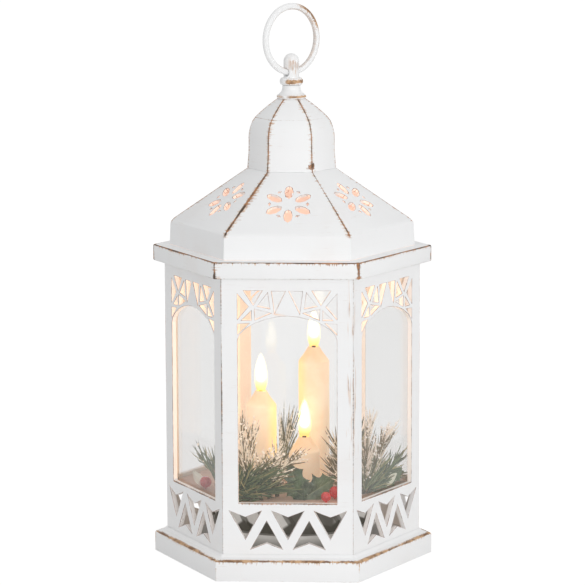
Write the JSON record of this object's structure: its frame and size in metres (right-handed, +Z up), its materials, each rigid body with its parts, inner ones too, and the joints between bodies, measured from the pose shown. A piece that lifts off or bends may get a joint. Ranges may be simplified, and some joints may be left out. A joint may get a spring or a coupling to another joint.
{
  "type": "lantern",
  "caption": "Six-sided lantern with pierced glazed sides, pierced sloping roof, domed cap, ring handle, lit candles and evergreen trim, battery base below.",
  "frame": {"origin": "centre of the plinth's underside, on the surface the lantern stands on", "axes": "+Z up through the ring handle; -Y out of the middle of the front side; +X to the viewer's right, through a corner"},
  "size_m": [0.191, 0.1654, 0.3778],
  "materials": {
    "antique_white": "white paint rubbed thin over brown at the edges",
    "berry_red": "waxy gloss",
    "black_plastic": "fine grain",
    "board": "green solder mask",
    "candle_wax_look": "warm ivory, satin, lit from inside at the top",
    "cell_can": "plain dark sleeve, unmarked",
    "clear_pane": "clear, glossy",
    "flame_lens": "translucent, lit",
    "grey_plastic": "fine grain",
    "holly_green": "waxy, frosted edges",
    "ivory": "matt",
    "led_body": "clear epoxy, lit",
    "peach_lining": "warm peach, matt",
    "pine_green": "soft matt, needles frosted at the tips",
    "plated_steel": "zinc plated",
    "white_metal": "white paint rubbed thin over brown",
    "wire_jacket": "satin"
  },
  "bodies": {
    "lantern": {"base_plate": "antique_white", "base_screw_1": "plated_steel", "base_screw_2": "plated_steel", "base_screw_3": "plated_steel", "battery_bay": "grey_plastic", "battery_housing": "grey_plastic", "berry_left": "berry_red", "berry_pair": "berry_red", "candle_middle": "candle_wax_look", "candle_short": "candle_wax_look", "candle_tall": "candle_wax_look", "cell_1": "cell_can", "cell_2": "cell_can", "circuit_board": "board", "contact_bridge": "plated_steel", "contact_negative": "plated_steel", "contact_positive": "plated_steel", "cornice": "antique_white", "deck": "peach_lining", "dome": "antique_white", "eye_nut": "plated_steel", "eye_washer": "plated_steel", "finial": "antique_white", "flame_middle": "flame_lens", "flame_short": "flame_lens", "flame_tall": "flame_lens", "hanging_eye": "white_metal", "holly_spray": "holly_green", "ivory_leaf": "ivory", "led_lead_middle": "wire_jacket", "led_lead_short": "wire_jacket", "led_lead_tall": "wire_jacket", "led_middle": "led_body", "led_short": "led_body", "led_tall": "led_body", "pine_sprig_front": "pine_green", "pine_sprig_front_left": "pine_green", "pine_sprig_left": "pine_green", "pine_sprig_right": "pine_green", "pine_sprig_right_back": "pine_green", "plinth": "antique_white", "roof": "antique_white", "side_panel_1": "antique_white", "side_panel_2": "antique_white", "side_panel_3": "antique_white", "side_panel_4": "antique_white", "side_panel_5": "antique_white", "side_panel_6": "antique_white", "slide_switch": "grey_plastic", "switch_lead": "wire_jacket", "window_pane_1": "clear_pane", "window_pane_2": "clear_pane", "window_pane_3": "clear_pane", "window_pane_4": "clear_pane", "window_pane_5": "clear_pane", "window_pane_6": "clear_pane"},
    "ring": {"ring_handle": "white_metal"},
    "door": {"battery_door": "antique_white"},
    "knob": {"switch_knob": "black_plastic"}
  },
  "joints": [
    {"name": "ring_swing", "type": "hinge", "parent": "lantern", "child": "ring", "pos_m": [0, 0, 0.3315], "axis": [0.7408, 0.6717, 0], "range_deg": [-135, 135]},
    {"name": "battery_door_hinge", "type": "hinge", "parent": "lantern", "child": "door", "pos_m": [-0.02885, 0, 0.0012], "axis": [0, 1, 0], "range_deg": [0, 90]},
    {"name": "switch_slide", "type": "slide", "parent": "lantern", "child": "knob", "axis": [1, 0, 0], "range_m": [0, 0.003]}
  ]
}
